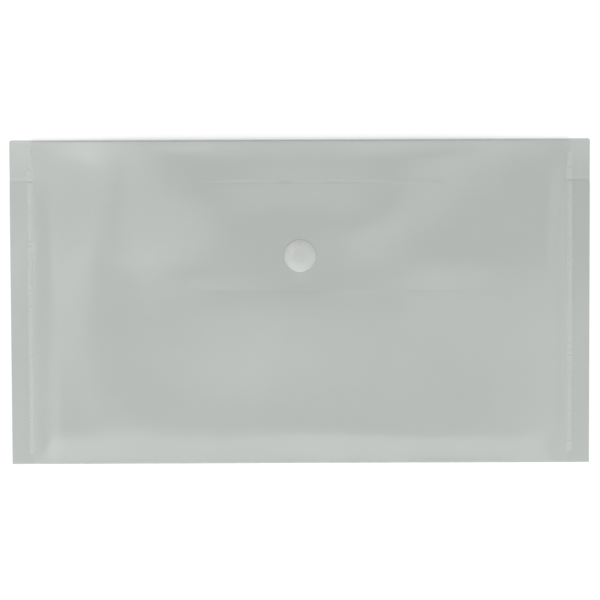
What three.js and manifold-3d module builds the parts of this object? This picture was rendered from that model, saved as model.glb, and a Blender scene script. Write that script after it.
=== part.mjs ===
// A clear plastic press-stud wallet. One sheet of polypropylene film is folded up at the bottom into a
// pocket, welded along both sides, and folded over at the top into a flap. A four-piece plastic press
// stud closes the flap onto the pocket.
// It lies on its back: +X across the wallet, +Y towards the top fold, +Z out of its front.
// The origin is the centre of the back, on the surface that the wallet lies on.

import * as THREE from "three";
import { mergeVertices } from "three/addons/utils/BufferGeometryUtils.js";
import Module from "manifold-3d";

// The sheet, in millimetres.
const WIDTH = 250;
const HEIGHT = 140; // bottom fold to top fold
const FILM = 0.2; // thickness of the film
const MOUTH_DROP = 18; // top fold to the pocket's mouth
const TAB_RADIUS = 1; // cut corners of the back
const MOUTH_RADIUS = 1.5; // cut corners of the front

// The pocket. Its front stands off its back by the thickness of the inner cap.
const FRONT_UNDERSIDE = 1.5; // height of the front film's underside between the welds
const MARGIN_UNDERSIDE = 0.3; // height of the front film's underside outside the welds
const RISER_OUTER = 9.75; // side edge to where the front film starts to rise
const RISER_INNER = 14; // side edge to where it has risen
const RISER_STEPS = 8;
const FOLD_DEPTH = 1; // how far the bottom fold's nodes reach up from the bottom edge
const FOLD_STEPS = 8;

// The side welds, with the ribs that the welding wheel leaves across them.
const WELD_INSET = 8.6; // side edge to the middle of the weld
const WELD_WIDTH = 2;
const WELD_START = 4.75; // bottom edge to the weld's lower end
const WELD_TOP_GAP = 1; // the weld's upper end to the mouth
const RIB_PITCH = 1;
const RIB_CREST = 0.3;
const RIB_FOOT = 0.6;
const RIB_HEIGHT = 0.14; // above the film

// The flap.
const TOP_ROLL_RADIUS = 1.15; // outside of the rolled top fold
const TOP_ROLL_STEPS = 12;
const FLAP_INSET = 9.5; // side edge to the flap's side edge, at the fold
const FLAP_DEPTH = 65; // top fold to the flap's lower edge
const FLAP_TAPER = 7; // lean of the flap's side edges, in degrees
const FLAP_CORNER_RADIUS = 14;
const FLAP_RISE_ENDS = 36; // top fold to where the flap has risen to the press stud's height
const FLAP_LEAVING = 10; // how long the rising film keeps to the direction it leaves the fold in
const FLAP_ARRIVING = 16; // and the same where it levels out
const FLAP_STEPS = 12;
const SLIT = 0.3; // between the flap and the tabs beside it

// The press stud, with its pieces stacked on one axis.
const SNAP_DROP = 50; // top fold to the axis
const CAP_RADIUS = 7;
const CAP_RIM = 0.55; // thickness at the rim
const OUTER_CAP_HEIGHT = 1.25;
const INNER_CAP_HEIGHT = 1.1;
const DOME_STEPS = 8;
const POST_RADIUS = 1.1;
const POST_CLEARANCE = 0.15;
const RIVET_RADIUS = 1.55; // the flattened end of a post
const RIVET_HEIGHT = 0.35;
const DISC_RADIUS = 6; // of the stud and of the socket
const STUD_DISC = 0.6;
const STUD_HEIGHT = 2;
const STUD_NECK_RADIUS = 2.85;
const STUD_HEAD_RADIUS = 3.3;
const STUD_HEAD_ROUND = 0.5; // radius of the head's bulge in section
const STUD_HEAD_LEVEL = 1.5; // height of the bulge above the front film
const STUD_WELL_RADIUS = 1.9;
const STUD_WELL_FLOOR = 0.9;
const SOCKET_GAP = 0.3; // least room between the socket and the stud
const SOCKET_HEIGHT = 2.05;
const SOCKET_PLATE = 0.6;
const GRIP_RING = 0.75; // thickness of the ring that snaps over the stud's head, at its lip
const GRIP_LIP_ROUND = 0.3; // radius of the lip in section
const SOCKET_GROOVE = 0.7; // width of the groove that lets the ring spread
const SOCKET_GROOVE_DEPTH = 1.1;
const BEVEL = 0.15;
const LATHE_STEPS = 40;

// Places that follow from the sizes above.
const SIDE = WIDTH / 2;
const TOP = HEIGHT / 2;
const BOTTOM = -HEIGHT / 2;
const MOUTH = TOP - MOUTH_DROP;
const PANEL_SIDE = SIDE - RISER_INNER;
const PANEL_START = BOTTOM + FOLD_DEPTH; // where the bottom fold meets the back and the front
const ROLL_AXIS = TOP - TOP_ROLL_RADIUS; // y of the top fold's axis, which is the flap's hinge
const FLAP_SIDE = SIDE - FLAP_INSET;
const FLAP_EDGE = TOP - FLAP_DEPTH;
const SNAP_Y = TOP - SNAP_DROP;
const HOLE_RADIUS = POST_RADIUS + POST_CLEARANCE;
const STUD_BASE = FRONT_UNDERSIDE + FILM;
const SOCKET_BASE = STUD_BASE + STUD_DISC + SOCKET_GAP;
const FLAP_UNDERSIDE = SOCKET_BASE + SOCKET_HEIGHT; // at the press stud
const CAP_BASE = FLAP_UNDERSIDE + FILM;
const OVERALL = CAP_BASE + OUTER_CAP_HEIGHT;

const wasm = await Module();
wasm.setup();

// A closed geometry as a solid that can be joined and cut.
function solidOf(geometry) {
  const bare = geometry.clone();
  bare.deleteAttribute("normal");
  bare.deleteAttribute("uv");
  const merged = mergeVertices(bare, 1e-4);
  return new wasm.Manifold(
    new wasm.Mesh({
      numProp: 3,
      vertProperties: merged.attributes.position.array,
      triVerts: new Uint32Array(merged.index.array),
    }),
  );
}

function geometryOf(solid) {
  const mesh = solid.getMesh();
  const geometry = new THREE.BufferGeometry();
  geometry.setAttribute("position", new THREE.BufferAttribute(mesh.vertProperties, 3));
  geometry.setIndex(new THREE.BufferAttribute(mesh.triVerts, 1));
  geometry.computeVertexNormals();
  return geometry;
}

// An outline in x and y, raised from one height to another.
function raised(outline, low, high) {
  const settings = { depth: high - low, bevelEnabled: false, curveSegments: 8 };
  return new THREE.ExtrudeGeometry(outline, settings).translate(0, 0, low);
}

// A section drawn in y and z, swept from x = from to x = to.
function sweptAlongX(section, from, to) {
  const turn = new THREE.Matrix4().makeBasis(
    new THREE.Vector3(0, 1, 0),
    new THREE.Vector3(0, 0, 1),
    new THREE.Vector3(1, 0, 0),
  );
  const geometry = new THREE.ExtrudeGeometry(section, { depth: to - from, bevelEnabled: false });
  return geometry.applyMatrix4(turn).translate(from, 0, 0);
}

// A section drawn in x and z, swept from y = from to y = to.
function sweptAlongY(section, from, to) {
  const geometry = new THREE.ExtrudeGeometry(section, { depth: to - from, bevelEnabled: false });
  return geometry.rotateX(Math.PI / 2).translate(0, to, 0);
}

// The section of a film of even thickness whose middle runs along a plane curve.
function filmSection(middle, steps) {
  const right = [];
  const left = [];
  for (let step = 0; step <= steps; step++) {
    const point = middle.getPoint(step / steps);
    const along = middle.getTangent(step / steps);
    const across = new THREE.Vector2(-along.y, along.x).multiplyScalar(FILM / 2);
    right.push(point.clone().sub(across));
    left.unshift(point.clone().add(across));
  }
  return new THREE.Shape([...right, ...left]);
}

// A round stretch of a turned profile, in degrees counted from outwards through up.
function roundStretch(centreRadius, centreHeight, round, from, to, steps) {
  const points = [];
  for (let step = 0; step <= steps; step++) {
    const angle = THREE.MathUtils.degToRad(from + ((to - from) * step) / steps);
    points.push([centreRadius + round * Math.cos(angle), centreHeight + round * Math.sin(angle)]);
  }
  return points;
}

// A round piece on the press stud's axis, from a profile of [radius, height] points.
function turned(profile, base) {
  const points = profile.map(([radius, height]) => new THREE.Vector2(radius, height));
  return new THREE.LatheGeometry(points, LATHE_STEPS).rotateX(Math.PI / 2).translate(0, SNAP_Y, base);
}

function postHole() {
  return new THREE.Path().absarc(0, SNAP_Y, HOLE_RADIUS, 0, 2 * Math.PI, true);
}

// Height of the front film's middle: low in the margins, high between the welds.
function frontHeight(x) {
  const risen = THREE.MathUtils.smoothstep(SIDE - Math.abs(x), RISER_OUTER, RISER_INNER);
  return THREE.MathUtils.lerp(MARGIN_UNDERSIDE, FRONT_UNDERSIDE, risen) + FILM / 2;
}

// Where the front film is bent across the left half: its side edge, then the steps of its rise.
function bendsOnTheLeft() {
  const places = [-SIDE];
  for (let step = 0; step <= RISER_STEPS; step++) {
    places.push(-SIDE + THREE.MathUtils.lerp(RISER_OUTER, RISER_INNER, step / RISER_STEPS));
  }
  return places;
}

// The back, flat, with a tab beside each end of the top fold.
function backPanel() {
  const tabInner = FLAP_SIDE + SLIT;
  const arcCentre = new THREE.Vector2(SIDE - TAB_RADIUS, TOP - TAB_RADIUS);
  const outline = new THREE.Shape();
  outline.moveTo(-SIDE, PANEL_START);
  outline.lineTo(SIDE, PANEL_START);
  outline.absarc(arcCentre.x, arcCentre.y, TAB_RADIUS, 0, Math.PI / 2, false);
  outline.lineTo(tabInner, TOP);
  outline.lineTo(tabInner, ROLL_AXIS);
  outline.lineTo(-tabInner, ROLL_AXIS);
  outline.lineTo(-tabInner, TOP);
  outline.absarc(-arcCentre.x, arcCentre.y, TAB_RADIUS, Math.PI / 2, Math.PI, false);
  return raised(outline, 0, FILM);
}

// The front between the side welds, flat, with the hole for the inner cap's post.
function frontPanel() {
  const outline = new THREE.Shape();
  outline.moveTo(-PANEL_SIDE, PANEL_START);
  outline.lineTo(PANEL_SIDE, PANEL_START);
  outline.lineTo(PANEL_SIDE, MOUTH);
  outline.lineTo(-PANEL_SIDE, MOUTH);
  outline.holes.push(postHole());
  return raised(outline, FRONT_UNDERSIDE, FRONT_UNDERSIDE + FILM);
}

// The bottom fold: the film rolls up from the back to the front. The roll is tall between the welds and
// nearly flat in the margins, where the two layers lie on each other.
function bottomFold() {
  const half = bendsOnTheLeft();
  const stations = [...half, 0, ...half.map((x) => -x).reverse()];
  const columns = stations.length - 1;
  const rows = FOLD_STEPS + 2;
  const film = new THREE.BoxGeometry(1, 1, 1, columns, rows, 1);
  const position = film.attributes.position;
  for (let i = 0; i < position.count; i++) {
    const column = Math.round((position.getX(i) + 0.5) * columns);
    const row = Math.round((position.getY(i) + 0.5) * rows);
    const x = stations[column];
    const radius = (frontHeight(x) - FILM / 2) / 2;
    const angle = -Math.PI / 2 - (Math.PI * THREE.MathUtils.clamp(row - 1, 0, FOLD_STEPS)) / FOLD_STEPS;
    const reach = radius + position.getZ(i) * FILM;
    const y = row === 0 || row === rows ? PANEL_START : BOTTOM + radius + FILM / 2 + reach * Math.cos(angle);
    position.setXYZ(i, x, y, radius + FILM / 2 + reach * Math.sin(angle));
  }
  return film;
}

// The left side of the front: the loose margin, the weld that fuses it to the back, and the rise up to
// the front panel. Its upper outer corner is cut round.
function leftSide() {
  const middle = bendsOnTheLeft();
  const below = middle.map((x) => new THREE.Vector2(x, frontHeight(x) - FILM / 2));
  const above = middle.map((x) => new THREE.Vector2(x, frontHeight(x) + FILM / 2)).reverse();
  const strip = solidOf(sweptAlongY(new THREE.Shape([...below, ...above]), PANEL_START, MOUTH));
  const outline = new THREE.Shape();
  outline.moveTo(-SIDE, PANEL_START);
  outline.lineTo(-PANEL_SIDE, PANEL_START);
  outline.lineTo(-PANEL_SIDE, MOUTH);
  const arcX = -SIDE + MOUTH_RADIUS;
  outline.absarc(arcX, MOUTH - MOUTH_RADIUS, MOUTH_RADIUS, Math.PI / 2, Math.PI, false);
  return strip.intersect(solidOf(raised(outline, 0, OVERALL))).add(solidOf(leftWeld()));
}

// The weld: a strip of fused film from the back up into the front, with ribs across it.
function leftWeld() {
  const start = BOTTOM + WELD_START;
  const end = MOUTH - WELD_TOP_GAP;
  const root = MARGIN_UNDERSIDE + FILM / 2;
  const crest = MARGIN_UNDERSIDE + FILM + RIB_HEIGHT;
  const section = new THREE.Shape();
  section.moveTo(start, FILM);
  section.lineTo(end, FILM);
  section.lineTo(end, root);
  for (let y = end - RIB_PITCH / 2; y - RIB_FOOT / 2 > start; y -= RIB_PITCH) {
    section.lineTo(y + RIB_FOOT / 2, root);
    section.lineTo(y + RIB_CREST / 2, crest);
    section.lineTo(y - RIB_CREST / 2, crest);
    section.lineTo(y - RIB_FOOT / 2, root);
  }
  section.lineTo(start, root);
  const middle = -SIDE + WELD_INSET;
  return sweptAlongX(section, middle - WELD_WIDTH / 2, middle + WELD_WIDTH / 2);
}

// The top fold: half a turn of film from the back up to the flap.
function topFold() {
  const radius = TOP_ROLL_RADIUS - FILM / 2;
  const middle = new THREE.ArcCurve(ROLL_AXIS, TOP_ROLL_RADIUS, radius, -Math.PI / 2, Math.PI / 2, false);
  return sweptAlongX(filmSection(middle, TOP_ROLL_STEPS), -FLAP_SIDE, FLAP_SIDE);
}

// The flap: it leaves the top fold level, rises to the press stud's height and runs on level.
function flap() {
  const low = 2 * TOP_ROLL_RADIUS - FILM / 2;
  const high = FLAP_UNDERSIDE + FILM / 2;
  const riseEnds = TOP - FLAP_RISE_ENDS;
  const rise = new THREE.CubicBezierCurve(
    new THREE.Vector2(riseEnds, high),
    new THREE.Vector2(riseEnds + FLAP_ARRIVING, high),
    new THREE.Vector2(ROLL_AXIS - FLAP_LEAVING, low),
    new THREE.Vector2(ROLL_AXIS, low),
  );
  const section = new THREE.Shape([
    new THREE.Vector2(FLAP_EDGE, high + FILM / 2),
    new THREE.Vector2(FLAP_EDGE, high - FILM / 2),
    ...filmSection(rise, FLAP_STEPS).getPoints(),
  ]);
  const sheet = solidOf(sweptAlongX(section, -SIDE, SIDE));
  return sheet.intersect(solidOf(raised(flapOutline(), 0, OVERALL)));
}

// The flap's outline: sides that lean in from the fold, two round corners, and the post's hole.
function flapOutline() {
  const lean = THREE.MathUtils.degToRad(FLAP_TAPER);
  const centreY = FLAP_EDGE + FLAP_CORNER_RADIUS;
  const leanedIn = (ROLL_AXIS - centreY) * Math.tan(lean);
  const centreX = FLAP_SIDE - leanedIn - FLAP_CORNER_RADIUS / Math.cos(lean);
  const outline = new THREE.Shape();
  outline.moveTo(FLAP_SIDE, ROLL_AXIS);
  outline.lineTo(-FLAP_SIDE, ROLL_AXIS);
  outline.absarc(-centreX, centreY, FLAP_CORNER_RADIUS, Math.PI + lean, 1.5 * Math.PI, false);
  outline.absarc(centreX, centreY, FLAP_CORNER_RADIUS, 1.5 * Math.PI, 2 * Math.PI - lean, false);
  outline.holes.push(postHole());
  return outline;
}

// A cap: a low dome with a thin rim, and a post under it whose end is flattened into a rivet. Heights
// are counted from the face that lies on the film.
function capProfile(height, postLength) {
  const profile = [
    [0, -postLength - RIVET_HEIGHT],
    [RIVET_RADIUS - BEVEL, -postLength - RIVET_HEIGHT],
    [RIVET_RADIUS, -postLength - RIVET_HEIGHT + BEVEL],
    [RIVET_RADIUS, -postLength],
    [POST_RADIUS, -postLength],
    [POST_RADIUS, 0],
    [CAP_RADIUS - BEVEL, 0],
    [CAP_RADIUS, BEVEL],
    [CAP_RADIUS, CAP_RIM - BEVEL],
  ];
  for (let step = DOME_STEPS; step >= 0; step--) {
    const share = step / DOME_STEPS;
    profile.push([(CAP_RADIUS - BEVEL) * share, CAP_RIM + (height - CAP_RIM) * (1 - share ** 3)]);
  }
  return profile;
}

// The outer cap lies on the flap, and its rivet holds the socket under the flap.
function snapCap() {
  return turned(capProfile(OUTER_CAP_HEIGHT, FILM + SOCKET_PLATE), CAP_BASE);
}

// The inner cap lies in the pocket with its post up, and its rivet holds the stud on the front.
function snapInnerCap() {
  const profile = capProfile(INNER_CAP_HEIGHT, FILM + STUD_WELL_FLOOR);
  const upsideDown = profile.map(([radius, height]) => [radius, -height]).reverse();
  return turned(upsideDown, FRONT_UNDERSIDE);
}

// The stud: a disc on the front film and a waisted knob, with a well for the inner cap's rivet.
function snapStud() {
  const headCentre = STUD_HEAD_RADIUS - STUD_HEAD_ROUND;
  return turned(
    [
      [HOLE_RADIUS, 0],
      [DISC_RADIUS - BEVEL, 0],
      [DISC_RADIUS, BEVEL],
      [DISC_RADIUS, STUD_DISC - BEVEL],
      [DISC_RADIUS - BEVEL, STUD_DISC],
      [STUD_NECK_RADIUS + BEVEL, STUD_DISC],
      [STUD_NECK_RADIUS, STUD_DISC + BEVEL],
      ...roundStretch(headCentre, STUD_HEAD_LEVEL, STUD_HEAD_ROUND, -75, 90, 6),
      [STUD_WELL_RADIUS + BEVEL, STUD_HEIGHT],
      [STUD_WELL_RADIUS, STUD_HEIGHT - BEVEL],
      [STUD_WELL_RADIUS, STUD_WELL_FLOOR],
      [HOLE_RADIUS, STUD_WELL_FLOOR],
      [HOLE_RADIUS, 0],
    ],
    STUD_BASE,
  );
}

// The socket: a plate under the flap, a springy ring whose lip snaps over the stud's head, a groove that
// lets the ring spread, and an outer wall.
function snapSocket() {
  const lip = STUD_HEAD_RADIUS + SOCKET_GAP;
  const cavity = lip + GRIP_LIP_ROUND;
  const ringOuter = lip + GRIP_RING;
  const wallInner = ringOuter + SOCKET_GROOVE;
  const ceiling = SOCKET_HEIGHT - SOCKET_PLATE;
  return turned(
    [
      [HOLE_RADIUS, ceiling],
      [cavity, ceiling],
      ...roundStretch(cavity, GRIP_LIP_ROUND, GRIP_LIP_ROUND, 90, 270, 6),
      [ringOuter, 0],
      [ringOuter, SOCKET_GROOVE_DEPTH],
      [wallInner, SOCKET_GROOVE_DEPTH],
      [wallInner, 0],
      [DISC_RADIUS - BEVEL, 0],
      [DISC_RADIUS, BEVEL],
      [DISC_RADIUS, SOCKET_HEIGHT - BEVEL],
      [DISC_RADIUS - BEVEL, SOCKET_HEIGHT],
      [HOLE_RADIUS, SOCKET_HEIGHT],
      [HOLE_RADIUS, ceiling],
    ],
    SOCKET_BASE,
  );
}

const CLEAR_FILM = { color: 0xb8bdb9, roughness: 0.25, metalness: 0, transparent: true, opacity: 0.6 };
const MILKY_PLASTIC = { color: 0xc9cdc9, roughness: 0.35, metalness: 0 };

function piece(name, geometry, look) {
  const mesh = new THREE.Mesh(geometry, new THREE.MeshStandardMaterial(look));
  mesh.name = name;
  return mesh;
}

const left = leftSide();
const right = left.mirror([1, 0, 0]);

const pocket = new THREE.Group();
pocket.add(piece("back_panel", backPanel(), CLEAR_FILM));
pocket.add(piece("bottom_fold", bottomFold(), CLEAR_FILM));
pocket.add(piece("front_panel", frontPanel(), CLEAR_FILM));
pocket.add(piece("left_side_weld", geometryOf(left), CLEAR_FILM));
pocket.add(piece("right_side_weld", geometryOf(right), CLEAR_FILM));
pocket.add(piece("top_fold", topFold(), CLEAR_FILM));
pocket.add(piece("snap_inner_cap", snapInnerCap(), MILKY_PLASTIC));
pocket.add(piece("snap_stud", snapStud(), MILKY_PLASTIC));

const cover = new THREE.Group();
cover.add(piece("flap", geometryOf(flap()), CLEAR_FILM));
cover.add(piece("snap_socket", snapSocket(), MILKY_PLASTIC));
cover.add(piece("snap_cap", snapCap(), MILKY_PLASTIC));

const wallet = new THREE.Group();
wallet.add(pocket, cover);

export default wallet;
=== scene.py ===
import math
import random

import bpy
from mathutils import Euler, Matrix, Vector, noise


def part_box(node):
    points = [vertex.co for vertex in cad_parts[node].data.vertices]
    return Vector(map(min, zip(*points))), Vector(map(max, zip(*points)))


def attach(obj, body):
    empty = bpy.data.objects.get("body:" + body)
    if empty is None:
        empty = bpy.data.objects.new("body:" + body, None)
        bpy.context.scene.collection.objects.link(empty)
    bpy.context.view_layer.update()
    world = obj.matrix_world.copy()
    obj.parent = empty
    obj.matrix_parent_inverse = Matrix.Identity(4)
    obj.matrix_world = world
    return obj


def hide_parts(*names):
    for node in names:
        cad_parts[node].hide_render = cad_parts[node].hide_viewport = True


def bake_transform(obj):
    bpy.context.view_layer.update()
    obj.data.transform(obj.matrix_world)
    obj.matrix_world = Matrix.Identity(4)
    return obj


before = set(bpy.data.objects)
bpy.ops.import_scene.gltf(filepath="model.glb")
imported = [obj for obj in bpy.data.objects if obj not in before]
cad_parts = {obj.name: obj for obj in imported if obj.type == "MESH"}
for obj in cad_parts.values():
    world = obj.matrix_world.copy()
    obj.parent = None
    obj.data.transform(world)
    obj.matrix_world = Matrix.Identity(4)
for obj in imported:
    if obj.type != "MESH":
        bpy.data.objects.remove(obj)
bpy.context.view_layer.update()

MM = 0.001

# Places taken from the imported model, in metres. The wallet lies on its back: +Y is towards the top fold.
back_low, back_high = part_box("back_panel")
front_low, front_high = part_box("front_panel")
bottom_fold_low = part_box("bottom_fold")[0]
roll_low, roll_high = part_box("top_fold")
flap_low, flap_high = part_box("flap")
cap_low, cap_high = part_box("snap_cap")
inner_cap_low, inner_cap_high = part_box("snap_inner_cap")
stud_low, stud_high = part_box("snap_stud")
socket_low, socket_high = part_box("snap_socket")

SIDE = back_high.x
TOP = back_high.y
BOTTOM = bottom_fold_low.y
FILM = back_high.z - back_low.z
PANEL_START = back_low.y  # where the bottom fold meets the back and the front
PANEL_SIDE = front_high.x
MOUTH = front_high.y
FRONT_UNDERSIDE = front_low.z
ROLL_Y = roll_low.y  # the top fold's axis
ROLL_RADIUS = (roll_high.z - roll_low.z) / 2
FLAP_SIDE = roll_high.x
FLAP_EDGE = flap_low.y
FLAP_TOP = flap_high.z  # the flap's upper face at the press stud
SNAP_Y = (cap_low.y + cap_high.y) / 2
CAP_RADIUS = cap_high.x
DISC_RADIUS = socket_high.x

# The film's outline.
EDGE_STRIP = 0.3 * MM  # width of the hazy strip along a cut edge
TAB_RADIUS = 1 * MM
MOUTH_RADIUS = 1.5 * MM
CORNER_SPAN = 3 * MM  # width of the columns that give way to a round corner
SLIT = 0.3 * MM  # between the flap's root and the tabs beside it
ROOT_LENGTH = 3 * MM  # the back's last stretch below the top fold, which goes on further in the tabs
FLAP_TAPER = math.radians(7)
FLAP_CORNER_RADIUS = 14 * MM
HOLE_RADIUS = 1.25 * MM

# How the front film rises from the margins, is pressed at the bottom fold and bulges under the flap.
MARGIN_UNDERSIDE = 0.3 * MM
RISER_OUTER = 9.75 * MM  # side edge to where the front film starts to rise
RISER_TOP = 18.5 * MM  # side edge to where the front film has risen
FOLD_PRESS = 0.95 * MM
FOLD_PRESS_DEPTH = 13 * MM
FRONT_BULGE = 2.4 * MM
FRONT_BULGE_WIDTH = 118 * MM
FRONT_BULGE_DEPTH = 54 * MM
BULGE_FROM_SNAP = 15 * MM  # the bulge is whole at this distance from the press stud
FLAT_ROUND_SNAP = 8 * MM  # the films lie flat this far around the press stud's axis
SLACK = 0.25 * MM  # how far the front film hangs through beside the press stud
SLACK_START = 4 * MM
SLACK_END = 40 * MM
SNUG_BELOW = 20 * MM  # below the flap's lower edge the front film comes up to it over this depth
SNUG_UNDER = 6 * MM  # and under the flap over this one

# How the flap's film leaves the top fold, stands on the press stud and lies down on the front.
ROLL_END_RADIUS = 0.6 * MM  # the top fold is pressed flatter at its ends
ROLL_ROUND_REACH = 50 * MM  # and is round this far to both sides of the middle
FLAP_REST = 0.05 * MM  # gap where the flap lies on the front film
FLAP_RISE_DEPTH = 41 * MM  # the flap rises from the top fold over this depth
FLAP_LIFT_REACH = 92 * MM  # the press stud lifts the flap this far to its sides
FLAP_LIFT_BELOW = 3.4  # below the press stud the lift ends this many times sooner
ROOT_SPRING = 0.4 * MM  # the top fold springs open a little
ROOT_SPRING_FULL = 6 * MM  # depths at which the spring is whole, starts to fade and is gone
ROOT_SPRING_FADE = 10 * MM
ROOT_SPRING_END = 62 * MM
ROOT_SPRING_REACH = 60 * MM  # the spring is even this far to both sides

# Waves in the films: height, length, and the seed that picks the pattern.
NOISE_GAIN = 1.6  # brings the noise to between about -1 and 1
FRONT_WAVE = (0.2 * MM, 55 * MM, 3.1)
LIP_WAVE = (0.07 * MM, 6 * MM, 8.4)
LIP_WAVE_DEPTH = 12 * MM
PUCKERS = (0.1 * MM, 13 * MM, 5.7)
PUCKER_DEPTH = 18 * MM
PUCKER_SHORTNESS = 2  # the puckers are this many times shorter along y
FLAP_WAVE_HEIGHT = 0.1 * MM
FLAP_WAVE = (FLAP_WAVE_HEIGHT, 48 * MM, 17.3)
FRONT_WAVE_FROM_SNAP = 30 * MM  # the waves are whole at this distance from the press stud
FRONT_WAVE_START = -52 * MM  # and from this place on
FLAP_WAVE_FROM_SNAP = 34 * MM
FLAP_WAVE_FROM_ROOT = 10 * MM
FLAP_WAVE_FROM_EDGE = 24 * MM

# Soft folds in the film, in millimetres: the line that each runs along, its half width and its height.
FLAP_FOLDS = [
    ([(-84, 75), (-88, 33), (-94, 0)], 14, 0.2),
]
FRONT_FOLDS = [
    ([(-86, 45), (-90, 25), (-92, 0), (-89, -18), (-82, -32), (-72, -50)], 22, 0.42),
]

# The mouth's edge carries a painted highlight in its middle: its last rows take a lighter, denser film. It
# prints a fine line through the flap, with a painted shade below the line where it is sharper. The line is
# sharper in a few places, each given by its middle and its half length in millimetres.
LIP_HIGHLIGHT_REACH = 66 * MM
LIP_HIGHLIGHT_ROWS = 3
PRINT_WIDTH = 1.6 * MM
PRINT_Y = MOUTH - 0.4 * MM
PRINT_REACH = 66 * MM
PRINT_FADE = 6 * MM
PRINT_HEIGHT = 0.035 * MM
SHARP_PRINT_HEIGHT = 0.085 * MM
SHARP_PRINTS = [(-6.1, 4.6), (12.7, 3.4), (22.6, 2.4), (30.5, 2), (59, 3)]
SHARP_CORE = 0.4  # share of the half length over which a place is fully sharp
PAINTED_SHADE_SHARPNESS = 0.5  # where the line is sharper than this, a painted shade of darker film runs below its crest

# The cells of the films' grids.
PANEL_STEP = 4 * MM
MARGIN_STEP = 2.5 * MM
RISER_STEP = 0.5 * MM
TAB_STEP = 1 * MM
FLAP_STEP = 2 * MM
FLAP_ROOT_STEP = 2.5 * MM
BOTTOM_FOLD_STEPS = 14
TOP_FOLD_STEPS = 20
HOLE_CELLS = 4  # cells across a post's hole
HOLE_SQUARE = (0.99, 1.001)  # points this many hole radii off the middle lie on the square round the hole
SHEET_CORNER_ANGLES = (0, 20, 40, 55, 70, 80, 90)
FLAP_CORNER_ANGLES = (14, 21, 28, 36, 44, 52, 60, 68)
PAINTED_BEND_SHARES = (0.25, 0.75)  # the outer half of the top fold, painted lighter and clearer: painted light for the light that shines through the bend
SAME_PLACE = 1e-7  # places closer together than this are one

# The welds.
WELD_INSET = 8.6 * MM
WELD_WIDTH = 2 * MM
WELD_START = 4.75 * MM
WELD_END = TOP - 4 * MM  # the wheel's mark goes on over the tab beside the flap
WELD_SKIN = 0.03 * MM  # how far the fused strip stands over the film between the ribs
WELD_PROFILE = [(-1, 0), (-0.8, 0.3), (-0.6, 0.75), (-0.35, 0.95), (0, 1)]  # place and height, as shares
RIB_PITCH = 1 * MM
RIB_CREST = 0.3 * MM
RIB_FOOT = 0.6 * MM
RIB_HEIGHT = 0.14 * MM
RIB_CROWN = 1.08  # height of a crest's middle, as a share of its sides' height
RIB_LEAN = 0.05 * MM  # largest lean of a rib's ends
LOW_RIB = (0.08, 0.3)  # range of the height that a rib has kept
TALL_RIB = (0.9, 1.2)
LEFT_SEED = 11
RIGHT_SEED = 12
LEFT_TALL_RIBS = (66, 57, 26.4, 24.2, 7.4, 5.7, -1.6, -24, -52.2)  # places of the sharper ribs, in mm
RIGHT_TALL_RIBS = (64, 57, 56, 17, -19.2, -22, -23.4, -30.8, -48.2, -60.3)

# The press stud, in profile.
POST_RADIUS = 1.1 * MM
RIVET_RADIUS = 1.55 * MM
RIVET_HEIGHT = 0.35 * MM
CAP_RIM = 0.08 * MM
CAP_SHOULDER = 0.25 * MM
CAP_SHOULDER_END = 66  # degrees at which the shoulder passes into the dome
CAP_SHOULDER_STEPS = 10
CAP_DOME_STEPS = 24
CAP_FOOT_ROUND = 0.05 * MM
STUD_DISC = 0.6 * MM
STUD_NECK_RADIUS = 2.85 * MM
STUD_HEAD_RADIUS = 3.3 * MM
STUD_HEAD_ROUND = 0.5 * MM
STUD_HEAD_LEVEL = 1.5 * MM
STUD_HEAD_UNDERSIDE = -75  # degrees at which the head's bulge starts
STUD_WELL_RADIUS = 1.9 * MM
STUD_WELL_FLOOR = 0.9 * MM
SOCKET_GAP = 0.3 * MM
SOCKET_PLATE = 0.6 * MM
GRIP_RING = 0.75 * MM
GRIP_LIP_ROUND = 0.3 * MM
SOCKET_GROOVE = 0.7 * MM
SOCKET_GROOVE_DEPTH = 1.1 * MM
FILLET = 0.15 * MM
FILLET_STEPS = 4
BULGE_STEPS = 14  # round the stud's head and the socket's lip
TURNED_STEPS = 96

# Degrees from which an edge between two faces is shown sharp.
SHARP_ANGLE = 40
TURNED_SHARP_ANGLE = 30

# The plastics. The scales and grains are in waves to the metre.
PLASTIC_IOR = 1.49
TONE_SCALE = 28
GLOSS_SCALE = 190
GLOSS_VARIATION = 0.15
NOISE_DETAIL = 3.0
GRAIN_DETAIL = 2.0
NOISE_MIDDLE = (0.35, 0.65)  # range of a noise over which it goes from one tone to the other
FILM_VARIATION = 0.01
FILM_SHADE = (0.57, 0.604, 0.577)
# darker film of the cut edges, also used as a painted shade below the sharp places of the mouth's print
CUT_EDGE_AND_PAINTED_SHADE_TONE = (0.54, 0.575, 0.55)
MARGIN_SHADE = (0.553, 0.586, 0.56)
# painted light: a lighter, clearer film on the top fold's bend, where the fold would otherwise render in
# shade
FOLD_PAINTED_LIGHT_SHADE = (0.93, 0.96, 0.93)
# painted highlight: the lighter, denser film of the mouth's last rows stands in for light along its cut edge
LIP_PAINTED_HIGHLIGHT_SHADE = (0.92, 0.95, 0.92)
WELD_SHADE = (0.76, 0.80, 0.77)
SNAP_SHADE = (0.478, 0.498, 0.473)
FILM_ROUGHNESS = 0.14
FILM_ALPHA = 0.62
FILM_GRAIN = 420
FILM_GRAIN_DEPTH = 0.001 * MM
CUT_GRAIN = 900
CUT_GRAIN_DEPTH = 0.002 * MM
TAB_MOUTH_SHARE = 0.925  # shares of the film's colour in the tabs, at the mouth and at the top edge
TAB_TOP_SHARE = 1.02

# The floor and the light, in metres.
FLOOR_HALF = 3.0
FLOOR_DROP = 0.05 * MM
PAPER = (0.8, 0.8, 0.8, 1)
GLOW_NEAR = (0.2, 0.26)  # distance from the wallet's middle, and the floor's glow there
GLOW_FAR = (0.9, 0.9)
AMBIENT = 0.35
SOFTBOX_PLACE = (0.05, -1.1, 0.65)
SOFTBOX_WIDTH = 0.45
SOFTBOX_SHINE = 7.8

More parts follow.
